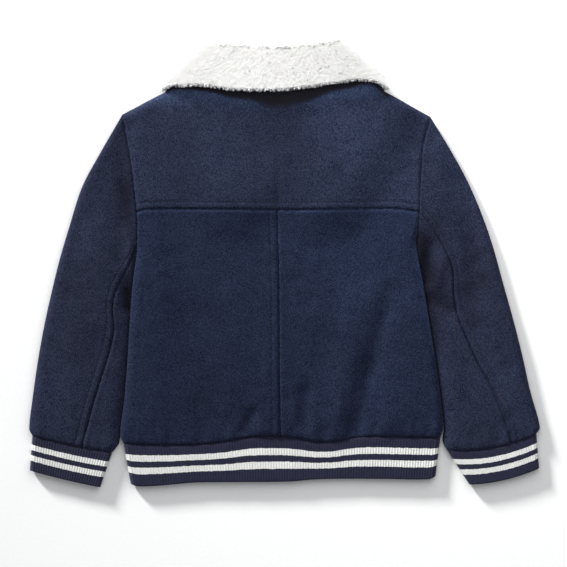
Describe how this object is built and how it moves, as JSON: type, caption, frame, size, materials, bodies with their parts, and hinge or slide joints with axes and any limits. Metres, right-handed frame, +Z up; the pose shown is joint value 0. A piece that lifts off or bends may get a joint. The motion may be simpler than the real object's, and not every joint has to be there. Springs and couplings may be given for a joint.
{
  "type": "bomber jacket",
  "caption": "Child's wool bomber jacket with a fold-over sherpa collar and striped rib cuffs and hem, laid flat on its front with its back up.",
  "frame": {"origin": "bottom centre of the bounding box, on the surface that the jacket lies on", "axes": "+Z up out of the jacket's back, +Y from the hem towards the collar, +X towards the wearer's right sleeve; X is the longest extent and Z the shortest"},
  "size_m": [0.561, 0.4898, 0.0262],
  "materials": {
    "wool": "navy felted wool melton with a short matt nap",
    "rib_knit": "navy 1 by 1 rib knit with two off-white stripes",
    "sherpa": "off-white curly sherpa pile",
    "under_collar": "navy felted wool",
    "press_stud": "satin nickel caps"
  },
  "bodies": {
    "root": {"back_yoke": "wool", "back_left": "wool", "back_right": "wool", "front_left": "wool", "front_right": "wool", "sleeve_top_left": "wool", "sleeve_top_right": "wool", "sleeve_under_left": "wool", "sleeve_under_right": "wool", "hem_rib": "rib_knit", "cuff_left": "rib_knit", "cuff_right": "rib_knit", "collar": "sherpa", "under_collar": "under_collar", "snap_1": "press_stud", "snap_2": "press_stud", "snap_3": "press_stud", "snap_4": "press_stud", "snap_5": "press_stud", "snap_6": "press_stud"}
  },
  "joints": []
}
